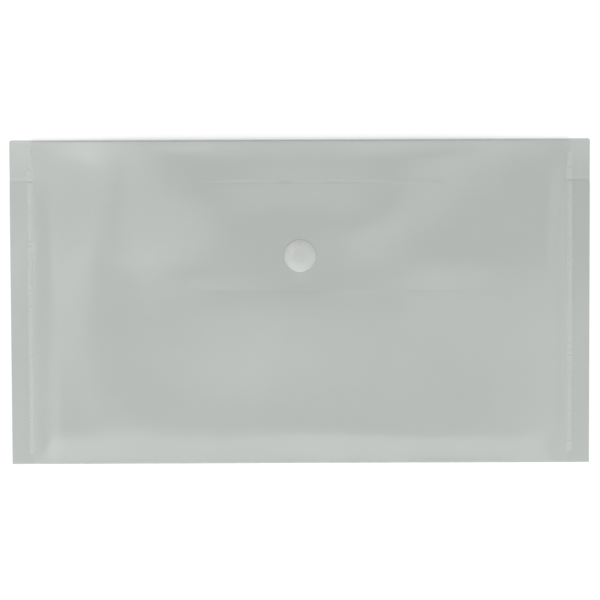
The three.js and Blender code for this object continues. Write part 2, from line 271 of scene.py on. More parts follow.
# The lamps that face down: name, place, width, depth, shine, and turn in degrees.
CEILING_LAMPS = [
    ("left_back_panel", (-0.33, 0.24, 1.1), 0.28, 0.52, 2.2, 0),
    ("left_front_panel", (-0.375, -0.265, 1.09), 0.19, 0.57, 2.2, 0),
    ("right_panel", (0.345, -0.16, 1.09), 0.24, 0.28, 1.55, 0),
    ("right_side_panel", (0.57, 0.09, 1.1), 0.40, 0.22, 1.5, 0),
    ("slim_panel", (0.17, 0.08, 1.1), 0.28, 0.11, 2.0, 50),
    ("front_strip", (-0.05, -0.425, 1.1), 0.84, 0.29, 2.4, 0),
    ("left_middle_panel", (-0.15, -0.235, 1.1), 0.22, 0.08, 1.25, 0),
    ("front_high_panel", (-0.03, -0.84, 1.05), 0.5, 0.36, 8.0, 0),
    ("left_side_panel", (-0.62, -0.05, 1.1), 0.3, 0.5, 1.3, 0),
    ("right_low_side_panel", (0.62, -0.18, 1.1), 0.34, 0.3, 1.6, 0),
    ("back_middle_panel", (0, 0.25, 1.1), 0.3, 0.09, 1.2, 0),
    ("back_left_strip", (-0.165, 0.35, 1.1), 0.17, 0.1, 4.4, 0),
    ("back_centre_strip", (-0.01, 0.35, 1.1), 0.14, 0.1, 2.6, 0),
    ("back_right_strip", (0.175, 0.35, 1.1), 0.23, 0.1, 4.4, 0),
    ("left_corner_panel", (-0.315, 0.24, 1.08), 0.1, 0.14, 4.5, 0),
    ("right_corner_panel", (0.31, 0.265, 1.1), 0.14, 0.16, 2.6, 0),
]

# The camera, fitted to the photograph's frame of 600 by 600 pixels.
FRAME_PIXELS = 600
PIXELS_PER_METRE = 2316
CAMERA_DISTANCE = 0.7
CAMERA_TILT = math.radians(2.3)
CAMERA_ROLL = math.radians(-0.22)
CLIP_START = 0.01
SENSOR_WIDTH = 36  # in mm
VIEW_CENTRE = Vector((-0.06 * MM, 0.87 * MM, 1 * MM))


def make_camera():
    camera = bpy.data.objects.new("camera", bpy.data.cameras.new("camera"))
    bpy.context.scene.collection.objects.link(camera)
    turn = Euler((-CAMERA_TILT, 0, CAMERA_ROLL))
    camera.rotation_euler = turn
    camera.location = VIEW_CENTRE + turn.to_matrix() @ Vector((0, 0, CAMERA_DISTANCE))
    camera.data.sensor_width = SENSOR_WIDTH
    camera.data.lens = SENSOR_WIDTH * CAMERA_DISTANCE * PIXELS_PER_METRE / FRAME_PIXELS
    camera.data.clip_start = CLIP_START
    bpy.context.scene.camera = camera


# Materials

def new_material(name):
    material = bpy.data.materials.new(name)
    material.use_nodes = True
    return material, material.node_tree, material.node_tree.nodes["Principled BSDF"]


def noise_node(tree, scale, detail=NOISE_DETAIL):
    place = tree.nodes.new("ShaderNodeTexCoord")
    cloud = tree.nodes.new("ShaderNodeTexNoise")
    cloud.inputs["Scale"].default_value = scale
    cloud.inputs["Detail"].default_value = detail
    tree.links.new(place.outputs["Object"], cloud.inputs["Vector"])
    return cloud.outputs["Fac"]


def ramp(tree, value, low, high, over=NOISE_MIDDLE):
    """A colour or a number that goes from low to high as value goes over a range."""
    blend = tree.nodes.new("ShaderNodeValToRGB")
    for element, position, colour in zip(blend.color_ramp.elements, over, (low, high)):
        element.position = position
        element.color = (*colour, 1) if isinstance(colour, tuple) else (colour, colour, colour, 1)
    tree.links.new(value, blend.inputs["Fac"])
    return blend.outputs["Color"]


def toned(shade, share):
    return tuple(part * share for part in shade)


def add_bump(tree, shader, height, depth):
    bump = tree.nodes.new("ShaderNodeBump")
    bump.inputs["Distance"].default_value = depth
    bump.inputs["Strength"].default_value = 1.0
    tree.links.new(height, bump.inputs["Height"])
    tree.links.new(bump.outputs["Normal"], shader.inputs["Normal"])


def finish_plastic(tree, shader, tone, roughness, alpha, grain, grain_depth):
    """Gives a plastic its tone, a gloss that varies a little, and a fine grain."""
    tree.links.new(tone, shader.inputs["Base Color"])
    glossier, duller = roughness * (1 - GLOSS_VARIATION), roughness * (1 + GLOSS_VARIATION)
    tree.links.new(ramp(tree, noise_node(tree, GLOSS_SCALE), glossier, duller), shader.inputs["Roughness"])
    shader.inputs["IOR"].default_value = PLASTIC_IOR
    shader.inputs["Alpha"].default_value = alpha
    add_bump(tree, shader, noise_node(tree, grain, GRAIN_DETAIL), grain_depth)


def plastic(name, shade, roughness, alpha, grain, grain_depth, variation):
    """A plastic whose tone varies a little, as that of moulded and rolled plastics does."""
    material, tree, shader = new_material(name)
    tone = ramp(tree, noise_node(tree, TONE_SCALE), toned(shade, 1 - variation), toned(shade, 1 + variation))
    finish_plastic(tree, shader, tone, roughness, alpha, grain, grain_depth)
    return material


def clear_film(name, shade=FILM_SHADE, roughness=FILM_ROUGHNESS, alpha=FILM_ALPHA, grain=FILM_GRAIN,
               grain_depth=FILM_GRAIN_DEPTH):
    return plastic(name, shade, roughness, alpha, grain, grain_depth, FILM_VARIATION)


def cut_film_and_painted_light(name, shade, roughness, alpha):
    """The film along a cut, which is rougher than its faces. Its materials also carry painted light: a
    painted highlight on the mouth's edge, and a painted shade below the sharp places of the mouth's print.
    """
    return clear_film(name, shade, roughness, alpha, CUT_GRAIN, CUT_GRAIN_DEPTH)


def tab_film(name):
    """The film of the tabs above the mouth, lighter at the top edge and darker down to the mouth."""
    material, tree, shader = new_material(name)
    place = tree.nodes.new("ShaderNodeTexCoord")
    split = tree.nodes.new("ShaderNodeSeparateXYZ")
    tree.links.new(place.outputs["Object"], split.inputs["Vector"])
    mouth_tone, clear = toned(FILM_SHADE, TAB_MOUTH_SHARE), toned(FILM_SHADE, TAB_TOP_SHARE)
    tone = ramp(tree, split.outputs["Y"], mouth_tone, clear, over=(MOUTH, TOP))
    finish_plastic(tree, shader, tone, FILM_ROUGHNESS, FILM_ALPHA, FILM_GRAIN, FILM_GRAIN_DEPTH)
    return material


def weld_film(name):
    """The film in the welds, with the grain that the hot wheel left."""
    return clear_film(name, WELD_SHADE, roughness=0.22, alpha=0.35, grain=700, grain_depth=0.01 * MM)


def milky_plastic(name):
    """The satin moulded plastic of the press stud."""
    return plastic(name, SNAP_SHADE, roughness=0.25, alpha=1.0, grain=1100, grain_depth=0.005 * MM,
                   variation=0.015)


def make_materials():
    return {
        "film": clear_film("clear_film"),
        # the cut edges, and a painted shade below the sharp places of the mouth's print
        "edge": cut_film_and_painted_light("film_cut_edge_and_painted_shade", CUT_EDGE_AND_PAINTED_SHADE_TONE, roughness=0.25, alpha=FILM_ALPHA),
        "tab": tab_film("film_tab"),
        "margin": clear_film("film_margin", MARGIN_SHADE, alpha=0.63),
        # painted light on the top fold's bend
        "fold": clear_film("film_fold_painted_light", FOLD_PAINTED_LIGHT_SHADE, alpha=0.4),
        # painted highlight on the mouth's edge
        "lip": cut_film_and_painted_light("film_lip_painted_highlight", LIP_PAINTED_HIGHLIGHT_SHADE, roughness=0.2, alpha=0.9),
        "weld": weld_film("film_weld"),
        "snap": milky_plastic("milky_plastic"),
    }


# Mesh building

def mesh_object(name, points, faces, materials, material_of=None, sharp=SHARP_ANGLE):
    mesh = bpy.data.meshes.new(name)
    mesh.from_pydata([tuple(p) for p in points], [], faces)
    for material in materials:
        mesh.materials.append(material)
    if material_of is not None:
        mesh.polygons.foreach_set("material_index", material_of)
    mesh.shade_smooth()
    mesh.set_sharp_from_angle(angle=math.radians(sharp))
    mesh.update()
    made = bpy.data.objects.new(name, mesh)
    bpy.context.scene.collection.objects.link(made)
    return made


def plate(name, upper, lower, materials, kinds, left_out=(), cell_kinds=None):
    """A closed piece between two grids of points, without the cells left out. Kinds are the names of its
    materials: the first is for the cells that cell_kinds doesn't name, and the second for the walls."""
    rows, columns = len(upper), len(upper[0])
    points = [p for grid in (upper, lower) for row in grid for p in row]
    below = rows * columns
    cell_kinds = cell_kinds or {}
    face_kind = kinds[0]
    wall_kind = kinds[1] if len(kinds) > 1 else face_kind

    def at(row, column):
        return row * columns + column

    faces, face_kinds, sides = [], [], {}
    for row in range(rows - 1):
        for column in range(columns - 1):
            if (row, column) in left_out:
                continue
            corners = [at(row, column), at(row, column + 1), at(row + 1, column + 1), at(row + 1, column)]
            faces += [corners, [below + i for i in reversed(corners)]]
            face_kinds += [cell_kinds.get((row, column), face_kind)] * 2
            for start, end in zip(corners, corners[1:] + corners[:1]):
                if (end, start) in sides:
                    del sides[(end, start)]
                else:
                    sides[(start, end)] = True
    faces += [[end, start, below + start, below + end] for start, end in sides]
    face_kinds += [wall_kind] * len(sides)
    used = sorted({i for face in faces for i in face})
    renumbered = {old: new for new, old in enumerate(used)}
    points = [points[i] for i in used]
    faces = [[renumbered[i] for i in face] for face in faces]
    material_of = [kinds.index(kind) for kind in face_kinds]
    return mesh_object(name, points, faces, [materials[kind] for kind in kinds], material_of)


def offset_grids(middle, thickness):
    """The two faces of a sheet of even thickness whose middle is a grid of points."""
    rows, columns = len(middle), len(middle[0])
    upper, lower = [], []
    for r in range(rows):
        above, under = [], []
        for c in range(columns):
            along = middle[min(r + 1, rows - 1)][c] - middle[max(r - 1, 0)][c]
            across = middle[r][min(c + 1, columns - 1)] - middle[r][max(c - 1, 0)]
            normal = across.cross(along).normalized() * (thickness / 2)
            above.append(middle[r][c] + normal)
            under.append(middle[r][c] - normal)
        upper.append(above)
        lower.append(under)
    return upper, lower


def between(start, end, step):
    """Even places from start up to end, both counted in, about a step apart."""
    count = max(1, round(abs(end - start) / step))
    return [start + (end - start) * i / count for i in range(count + 1)]


def joined(*runs):
    """Runs of places one after the other, with each place that two runs share kept once."""
    places = []
    for run in runs:
        places += [p for p in run if not places or abs(p - places[-1]) > SAME_PLACE]
    return places


def nearest(places, wanted):
    """Number of the place that is nearest to the wanted one."""
    return min(range(len(places)), key=lambda i: abs(places[i] - wanted))


def smooth(value, low, high):
    """A share that goes softly from 0 to 1 as value goes from low to high."""
    share = min(1.0, max(0.0, (value - low) / (high - low)))
    return share * share * (3 - 2 * share)


def mix(low, high, share):
    return low + (high - low) * share


def from_snap(x, y):
    return math.hypot(x, y - SNAP_Y)


def hole_run(centre):
    return between(centre - HOLE_RADIUS, centre + HOLE_RADIUS, 2 * HOLE_RADIUS / HOLE_CELLS)


def hole_cells(row, column):
    """The cells of a grid that a post's hole takes out round one of the grid's points."""
    half = HOLE_CELLS // 2
    return {(row + r, column + c) for r in range(-half, half) for c in range(-half, half)}


def round_the_hole(points):
    """Moves the grid points on the square round the post's hole onto the hole's circle."""
    for row in points:
        for p in row:
            dx, dy = p.x, p.y - SNAP_Y
            if HOLE_SQUARE[0] < max(abs(dx), abs(dy)) / HOLE_RADIUS < HOLE_SQUARE[1]:
                scale = HOLE_RADIUS / math.hypot(dx, dy)
                p.x, p.y = dx * scale, SNAP_Y + dy * scale


def wave(x, y, height, length, seed):
    """A gentle, uneven wave, up and down by about its height."""
    return height * (noise.noise(Vector((x / length, y / length, seed))) * NOISE_GAIN)


def distance_to_line(point, start, end):
    along = end - start
    share = min(1.0, max(0.0, (point - start).dot(along) / along.length_squared))
    return (point - start - along * share).length


def ridges(x, y, folds):
    """Height that soft folds in a film add."""
    here = Vector((x / MM, y / MM))
    added = 0.0
    for line, half_width, height in folds:
        away = min(distance_to_line(here, Vector(a), Vector(b)) for a, b in zip(line, line[1:]))
        added += height * (1 - smooth(away, 0, half_width))
    return added * MM


# The pocket's film

def front_level(x, y, risen):
    """The front film without its waves: low in the margins, high between the welds, and pressed down a
    little towards the bottom fold."""
    pressed = FOLD_PRESS * (1 - smooth(y, PANEL_START, PANEL_START + FOLD_PRESS_DEPTH))
    return mix(MARGIN_UNDERSIDE, FRONT_UNDERSIDE - pressed, risen) + FILM / 2


def front_bulge(x, y):
    away = math.hypot(x / FRONT_BULGE_WIDTH, (y - FLAP_EDGE) / FRONT_BULGE_DEPTH)
    return FRONT_BULGE * (1 - smooth(away, 0, 1)) * smooth(from_snap(x, y), FLAT_ROUND_SNAP, BULGE_FROM_SNAP)


def front_puckers(x, y):
    """Small puckers along the bottom fold."""
    fading = 1 - smooth(y, PANEL_START, PANEL_START + PUCKER_DEPTH)
    return wave(x, PUCKER_SHORTNESS * y, *PUCKERS) * fading


def front_waves(x, y):
    slack = -SLACK * smooth(abs(x), SLACK_START, SLACK_END)
    lip = smooth(y, MOUTH - LIP_WAVE_DEPTH, MOUTH) * wave(x, 0, *LIP_WAVE)
    return wave(x, y, *FRONT_WAVE) + slack + lip + ridges(x, y, FRONT_FOLDS)


def front_height(x, y):
    """Height of the front film's middle."""
    risen = smooth(SIDE - abs(x), RISER_OUTER, RISER_TOP)
    free = risen * smooth(from_snap(x, y), FLAT_ROUND_SNAP, FRONT_WAVE_FROM_SNAP)
    free *= smooth(y, PANEL_START, FRONT_WAVE_START)
    level = front_level(x, y, risen) + risen * (front_bulge(x, y) + front_puckers(x, y))
    return level + free * front_waves(x, y)


def front_snug(x, y):
    """How far the front film is raised to lie against the flap's lower edge."""
    gap = flap_height(x, FLAP_EDGE) - front_height(x, FLAP_EDGE) - FILM - FLAP_REST
    reach = SNUG_BELOW if y < FLAP_EDGE else SNUG_UNDER
    return gap * (1 - smooth(abs(y - FLAP_EDGE), 0, reach))


def rounded_x(x, from_end, radius):
    """x moved in where a round corner takes the sheet's side edge in."""
    if from_end >= radius:
        return x
    inset = radius - math.sqrt(radius ** 2 - (radius - from_end) ** 2)
    share = max(0.0, (abs(x) - (SIDE - CORNER_SPAN)) / CORNER_SPAN)
    return math.copysign(abs(x) - inset * share, x)


def back_point(x, y):
    """The back reaches up to the tabs beside the flap, and elsewhere only to the root of the top fold."""
    root_start = ROLL_Y - ROOT_LENGTH
    if abs(x) < FLAP_SIDE + SLIT / 2 and y > root_start:
        y = mix(root_start, ROLL_Y, (y - root_start) / (TOP - root_start))
    return Vector((rounded_x(x, TOP - y, TAB_RADIUS), y, FILM / 2))


def bottom_fold_point(x, share):
    """The bottom fold, from the back at share 0 to the front at share 1."""
    radius = (front_height(x, PANEL_START) - FILM / 2) / 2
    angle = -math.pi / 2 - math.pi * share
    y = BOTTOM + radius + FILM / 2 + radius * math.cos(angle)
    return Vector((x, y, radius + FILM / 2 + radius * math.sin(angle)))


def front_point(x, y):
    return Vector((rounded_x(x, MOUTH - y, MOUTH_RADIUS), y, front_height(x, y) + front_snug(x, y)))


def corner_run(end, radius):
    """Places that come closer together towards a sheet's end, where its corner is cut round."""
    return [end - radius * (1 - math.sin(math.radians(a))) for a in SHEET_CORNER_ANGLES]


def pocket_columns():
    half = joined(
        [SIDE, SIDE - EDGE_STRIP],
        between(SIDE - CORNER_SPAN, FLAP_SIDE + SLIT, MARGIN_STEP),
        [FLAP_SIDE],
        between(SIDE - RISER_OUTER, PANEL_SIDE, RISER_STEP),
        between(PANEL_SIDE, HOLE_RADIUS, PANEL_STEP),
    )
    return joined([-x for x in half], hole_run(0), sorted(half))


def back_rows():
    root_start = ROLL_Y - ROOT_LENGTH
    return joined(
        list(reversed(corner_run(TOP, TAB_RADIUS))),
        between(TOP - TAB_RADIUS, root_start, TAB_STEP),
        between(root_start, PANEL_START, PANEL_STEP),
    )


def front_rows():
    return joined(
        between(PANEL_START, SNAP_Y - HOLE_RADIUS, PANEL_STEP),
        hole_run(SNAP_Y),
        between(SNAP_Y + HOLE_RADIUS, MOUTH - MOUTH_RADIUS, PANEL_STEP),
        corner_run(MOUTH, MOUTH_RADIUS),
    )


def pocket_cell_kinds(columns, last_row):
    """Kinds of the pocket film's cells: its side edges, the mouth's lip with its painted highlight, and the
    tabs and margins.
    """
    last_column = len(columns) - 2
    inner = range(1, last_column)
    rows = range(last_row + 1)
    tab_end = nearest(back_rows(), MOUTH)
    # painted highlight: the mouth's last rows in the middle take the lighter lip film
    lip = [c for c in inner if abs(columns[c]) < LIP_HIGHLIGHT_REACH]
    margin = [c for c in inner if min(abs(columns[c]), abs(columns[c + 1])) > FLAP_SIDE]
    kinds = {(r, c): "edge" for r in rows for c in (0, last_column)}
    kinds.update({(last_row - r, c): "lip" for r in range(LIP_HIGHLIGHT_ROWS) for c in lip})
    kinds.update({(r, c): "tab" if r < tab_end else "margin" for r in rows for c in margin})
    return kinds


def pocket_film(materials):
    columns = pocket_columns()
    back = [[back_point(x, y) for x in columns] for y in back_rows()]
    fold = [[bottom_fold_point(x, share) for x in columns] for share in between(0, 1, 1 / BOTTOM_FOLD_STEPS)]
    front = [[front_point(x, y) for x in columns] for y in front_rows()]
    round_the_hole(front)
    upper, lower = offset_grids(back + fold + front, FILM)
    hole = hole_cells(len(back) + len(fold) + nearest(front_rows(), SNAP_Y), nearest(columns, 0))
    cell_kinds = pocket_cell_kinds(columns, len(upper) - 2)
    kinds = ("film", "edge", "lip", "tab", "margin")
    film = plate("pocket_film", upper, lower, materials, kinds, hole, cell_kinds)
    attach(film, "pocket")
    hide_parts("back_panel", "bottom_fold", "front_panel", "left_side_weld", "right_side_weld")


# The flap's film, with the top fold

def flap_side(y):
    """Half the flap's width above its round corners."""
    return FLAP_SIDE - (ROLL_Y - y) * math.tan(FLAP_TAPER)


def flap_half_width(y):
    """Half the flap's width: its sides lean in from the fold, and its lower corners are round."""
    centre_y = FLAP_EDGE + FLAP_CORNER_RADIUS
    centre_x = flap_side(centre_y) - FLAP_CORNER_RADIUS / math.cos(FLAP_TAPER)
    if y >= centre_y - FLAP_CORNER_RADIUS * math.sin(FLAP_TAPER):
        return flap_side(y)
    return centre_x + math.sqrt(max(0, FLAP_CORNER_RADIUS ** 2 - (centre_y - y) ** 2))


def roll_radius(x):
    """Half the top fold's height: it is round in the middle and pressed flatter towards its ends."""
    return mix(ROLL_RADIUS, ROLL_END_RADIUS, smooth(abs(x), ROLL_ROUND_REACH, FLAP_SIDE))


def print_sharpness(x):
    return max(1 - smooth(abs(x / MM - middle), SHARP_CORE * half, half) for middle, half in SHARP_PRINTS)


def mouth_print(x, y):
    """Height that the printed line of the mouth's edge adds to the flap."""
    height = mix(PRINT_HEIGHT, SHARP_PRINT_HEIGHT, print_sharpness(x))
    height *= 1 - smooth(abs(x), PRINT_REACH - PRINT_FADE, PRINT_REACH)
    return height * (1 - smooth(abs(y - PRINT_Y), 0, PRINT_WIDTH / 2))


def flap_tent(x, y):
    """The press stud lifts the flap like a tent's pole, and further away it lies on the front film."""
    resting = front_height(x, min(y, MOUTH)) + FILM + FLAP_REST
    down = (SNAP_Y - y) * mix(1, FLAP_LIFT_BELOW, smooth(SNAP_Y - y, 0, SNAP_Y - FLAP_EDGE))
    lifted = 1 - smooth(math.hypot(x, down), FLAT_ROUND_SNAP, FLAP_LIFT_REACH)
    return mix(resting, FLAP_TOP - FILM / 2, lifted)


def root_spring(x, depth):
    spring = ROOT_SPRING * smooth(depth, 0, ROOT_SPRING_FULL)
    spring *= 1 - smooth(depth, ROOT_SPRING_FADE, ROOT_SPRING_END)
    return spring * (1 - smooth(abs(x), ROOT_SPRING_REACH, FLAP_SIDE))


def flap_height(x, y):
    """Height of the flap film's middle, which is bent down to the top fold."""
    depth = ROLL_Y - y
    root = 2 * roll_radius(x) - FILM / 2
    level = mix(root, flap_tent(x, y), smooth(depth, 0, FLAP_RISE_DEPTH))
    free = smooth(from_snap(x, y), FLAT_ROUND_SNAP, FLAP_WAVE_FROM_SNAP)
    free *= smooth(depth, 0, FLAP_WAVE_FROM_ROOT) * smooth(y, FLAP_EDGE, FLAP_EDGE + FLAP_WAVE_FROM_EDGE)
    waves = FLAP_WAVE_HEIGHT + wave(x, y, *FLAP_WAVE) + ridges(x, y, FLAP_FOLDS)
    return level + root_spring(x, depth) + mouth_print(x, y) + free * waves


def flap_point(share, y):
    """A point of the flap, at a share of the half width there."""
    x = share * flap_half_width(y)
    return Vector((x, y, flap_height(x, y)))


def top_fold_point(x, share):
    """The top fold, from the back at share 0 to the flap at share 1."""
    angle = -math.pi / 2 + math.pi * share
    depth, height = ROLL_RADIUS - FILM / 2, roll_radius(x) - FILM / 2
    return Vector((x, ROLL_Y + depth * math.cos(angle), roll_radius(x) + height * math.sin(angle)))


def flap_columns():
    """Places across the flap, as shares of its half width."""
    strip = 1 - EDGE_STRIP / FLAP_SIDE
    snap_half_width = flap_half_width(SNAP_Y)
    half = joined([1, strip], between(strip, HOLE_RADIUS / snap_half_width, FLAP_STEP / FLAP_SIDE))
    return joined([-s for s in half], [x / snap_half_width for x in hole_run(0)], sorted(half))


def flap_rows():
    """Places along the flap, from the top fold down to its lower edge."""
    corner = [
        FLAP_EDGE + FLAP_CORNER_RADIUS * (1 - math.cos(math.radians(a)))
        for a in FLAP_CORNER_ANGLES
    ]
    upwards = joined(
        [FLAP_EDGE, FLAP_EDGE + EDGE_STRIP / 2],
        corner,
        between(corner[-1], SNAP_Y - HOLE_RADIUS, FLAP_STEP),
        hole_run(SNAP_Y),
        between(SNAP_Y + HOLE_RADIUS, PRINT_Y - PRINT_WIDTH, FLAP_ROOT_STEP),
        between(PRINT_Y - PRINT_WIDTH, PRINT_Y + PRINT_WIDTH, PRINT_WIDTH / 4),
        between(PRINT_Y + PRINT_WIDTH, ROLL_Y, FLAP_ROOT_STEP),
    )
    return upwards[::-1]


def flap_cell_kinds(shares, print_row, fold_shares):
    """Kinds of the flap film's cells: a painted shade below the sharp places of the mouth's print, and
    painted light on the top fold's bend.
    """
    columns = range(len(shares) - 1)
    print_xs = [s * flap_half_width(PRINT_Y) for s in shares]
    # painted shade: the cells just below the print's crest take the darker cut-edge film where the print is
    # sharp
    kinds = {(print_row, c): "edge" for c in columns if print_sharpness(print_xs[c]) > PAINTED_SHADE_SHARPNESS}
    # painted light: the top fold's bend takes the lighter, clearer fold film
    bend = [r for r, share in enumerate(fold_shares) if PAINTED_BEND_SHARES[0] < share < PAINTED_BEND_SHARES[1]]
    kinds.update({(r, c): "fold" for r in bend for c in columns})
    return kinds


def flap_film(materials):
    shares = flap_columns()
    rows = flap_rows()
    fold_shares = between(0, 1, 1 / TOP_FOLD_STEPS)
    fold = [[top_fold_point(s * FLAP_SIDE, share) for s in shares] for share in fold_shares]
    flap = [[flap_point(s, y) for s in shares] for y in rows]
    round_the_hole(flap)
    upper, lower = offset_grids(fold + flap[1:], FILM)
    before_flap = len(fold) - 1
    hole = hole_cells(before_flap + nearest(rows, SNAP_Y), nearest(shares, 0))
    cell_kinds = flap_cell_kinds(shares, before_flap + nearest(rows, PRINT_Y), fold_shares)
    film = plate("flap_film", upper, lower, materials, ("film", "edge", "fold"), hole, cell_kinds)
    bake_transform(film)
    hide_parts("flap", "top_fold")


# The welds

def rib_places():
    """Places along a weld, of the feet, the sides and the crests of its ribs, each with its share of a
    rib's height."""
    foot, crest = RIB_FOOT / 2, RIB_CREST / 2
    start = BOTTOM + WELD_START
    places = [(start, 0.0)]
    y = start + RIB_PITCH / 2
    while y + foot < WELD_END:
        places += [(y - foot, 0.0), (y - crest, 1.0), (y, RIB_CROWN), (y + crest, 1.0), (y + foot, 0.0)]
        y += RIB_PITCH
    places.append((WELD_END, 0.0))
    return places


def rib_form(foot, tall_ribs, dice):
    """The height that the rib after a foot has kept, as a share, and how far it leans."""
    tall = any(abs(foot + RIB_FOOT / 2 - rib * MM) < RIB_PITCH / 2 for rib in tall_ribs)
    strength = dice.uniform(*(TALL_RIB if tall else LOW_RIB))
    return strength, dice.uniform(-RIB_LEAN, RIB_LEAN)


def weld(name, side, tall_ribs, materials, dice):
    """The fused strip beside the pocket, with the ribs that the welding wheel left across it. Most of them
    are pressed nearly flat."""
    middle = side * (SIDE - WELD_INSET)
    profile = WELD_PROFILE + [(-place, height) for place, height in WELD_PROFILE[-2::-1]]
    upper, lower = [], []
    for y, crest in rib_places():
        if crest == 0:
            strength, lean = rib_form(y, tall_ribs, dice)
        film_top = FILM + (MARGIN_UNDERSIDE if y < MOUTH else 0)
        skin, rib = WELD_SKIN, (RIB_HEIGHT - WELD_SKIN) * strength * crest
        xs = [middle + share * WELD_WIDTH / 2 for share, _ in profile]
        ys = [y + lean * share * crest for share, _ in profile]
        heights = [film_top + skin * rounded + rib * rounded for _, rounded in profile]
        upper.append([Vector(p) for p in zip(xs, ys, heights)])
        lower.append([Vector((p.x, p.y, film_top - skin)) for p in upper[-1]])
    strip = plate(name, upper, lower, materials, ("weld",))
    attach(strip, "pocket")
    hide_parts("left_side_weld" if side < 0 else "right_side_weld")


# The press stud

def arc(centre_radius, centre_height, size, start, end, steps):
    """Points of a round stretch in a turned profile, in degrees counted from outwards through up."""
    points = []
    for step in range(steps + 1):
        angle = math.radians(mix(start, end, step / steps))
        points.append((centre_radius + size * math.cos(angle), centre_height + size * math.sin(angle)))
    return points


def fillet(centre_radius, centre_height, start, end):
    return arc(centre_radius, centre_height, FILLET, start, end, FILLET_STEPS)


def turned(name, profile, base, materials):
    """A round piece on the press stud's axis, from a closed profile of (radius, height) points."""
    points, rings = [], []
    for radius, height in profile:
        steps = TURNED_STEPS if radius > SAME_PLACE else 1
        rings.append([len(points) + i for i in range(steps)])
        for i in range(steps):
            angle = 2 * math.pi * i / TURNED_STEPS
            points.append((radius * math.cos(angle), SNAP_Y + radius * math.sin(angle), base + height))
    faces = []
    for ring, following in zip(rings, rings[1:] + rings[:1]):
        if len(ring) == 1 and len(following) == 1:
            continue
        for i in range(TURNED_STEPS):
            j = (i + 1) % TURNED_STEPS
            if len(ring) == 1:
                faces.append([ring[0], following[j], following[i]])
            elif len(following) == 1:
                faces.append([ring[i], ring[j], following[0]])
            else:
                faces.append([ring[i], ring[j], following[j], following[i]])
    made = mesh_object(name, points, faces, [materials["snap"]], sharp=TURNED_SHARP_ANGLE)
    return made


def cap_profile(height, post_length):
    """A low dome with a thin rim, on a post whose end is flattened into a rivet."""
    end = -post_length - RIVET_HEIGHT
    profile = [(0, end)]
    profile += fillet(RIVET_RADIUS - FILLET, end + FILLET, -90, 0)
    profile += [(RIVET_RADIUS, -post_length), (POST_RADIUS, -post_length), (POST_RADIUS, 0)]
    profile += arc(CAP_RADIUS - CAP_FOOT_ROUND, CAP_FOOT_ROUND, CAP_FOOT_ROUND, -90, 0, FILLET_STEPS)
    profile += arc(CAP_RADIUS - CAP_SHOULDER, CAP_RIM, CAP_SHOULDER, 0, CAP_SHOULDER_END, CAP_SHOULDER_STEPS)
    start_radius, start_height = profile[-1]
    for step in reversed(range(CAP_DOME_STEPS)):
        share = step / CAP_DOME_STEPS
        profile.append((start_radius * share, start_height + (height - start_height) * (1 - share ** 2)))
    return profile


def outer_cap(materials):
    """The cap on the flap, with its post down through the flap's film and the socket."""
    base = FLAP_TOP
    post = base - (cap_low.z + RIVET_HEIGHT)
    cap = turned("outer_cap", cap_profile(cap_high.z - base, post), base, materials)
    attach(cap, "flap")
    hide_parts("snap_cap")


def inner_cap(materials):
    """A cap like the outer one, upside down in the pocket, with its post up through the front film."""
    base = FRONT_UNDERSIDE
    post = inner_cap_high.z - RIVET_HEIGHT - base
    profile = [(radius, -height) for radius, height in cap_profile(base - inner_cap_low.z, post)]
    cap = turned("inner_cap", profile[::-1], base, materials)
    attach(cap, "pocket")
    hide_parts("snap_inner_cap")


def stud(materials):
    """A disc with a head that bulges over its neck, and a well in the head for the inner cap's rivet."""
    height = stud_high.z - stud_low.z
    head = STUD_HEAD_RADIUS - STUD_HEAD_ROUND
    profile = [(HOLE_RADIUS, 0)]
    profile += fillet(DISC_RADIUS - FILLET, FILLET, -90, 0)
    profile += fillet(DISC_RADIUS - FILLET, STUD_DISC - FILLET, 0, 90)
    profile += reversed(fillet(STUD_NECK_RADIUS + FILLET, STUD_DISC + FILLET, 180, 270))
    profile += arc(head, STUD_HEAD_LEVEL, STUD_HEAD_ROUND, STUD_HEAD_UNDERSIDE, 90, BULGE_STEPS)
    profile += fillet(STUD_WELL_RADIUS + FILLET, height - FILLET, 90, 180)
    profile += [(STUD_WELL_RADIUS, STUD_WELL_FLOOR), (HOLE_RADIUS, STUD_WELL_FLOOR)]
    made = turned("stud", profile, stud_low.z, materials)
    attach(made, "pocket")
    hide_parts("snap_stud")


def socket(materials):
    """A disc with a thin grip ring that snaps over the stud's head, and a groove that lets it spread."""
    height = socket_high.z - socket_low.z
    lip = STUD_HEAD_RADIUS + SOCKET_GAP
    cavity = lip + GRIP_LIP_ROUND
    ring_outer = lip + GRIP_RING
    wall_inner = ring_outer + SOCKET_GROOVE
    ceiling = height - SOCKET_PLATE
    profile = [(HOLE_RADIUS, ceiling), (cavity, ceiling)]
    profile += arc(cavity, GRIP_LIP_ROUND, GRIP_LIP_ROUND, 90, 270, BULGE_STEPS)
    profile += fillet(ring_outer - FILLET, FILLET, -90, 0)
    profile += [(ring_outer, SOCKET_GROOVE_DEPTH), (wall_inner, SOCKET_GROOVE_DEPTH)]
    profile += reversed(fillet(wall_inner + FILLET, FILLET, 180, 270)[:-1])
    profile += fillet(DISC_RADIUS - FILLET, FILLET, -90, 0)
    profile += fillet(DISC_RADIUS - FILLET, height - FILLET, 0, 90)
    profile += [(HOLE_RADIUS, height)]
    made = turned("socket", profile, socket_low.z, materials)
    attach(made, "flap")
    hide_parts("snap_socket")


# The floor, the world and the lamps

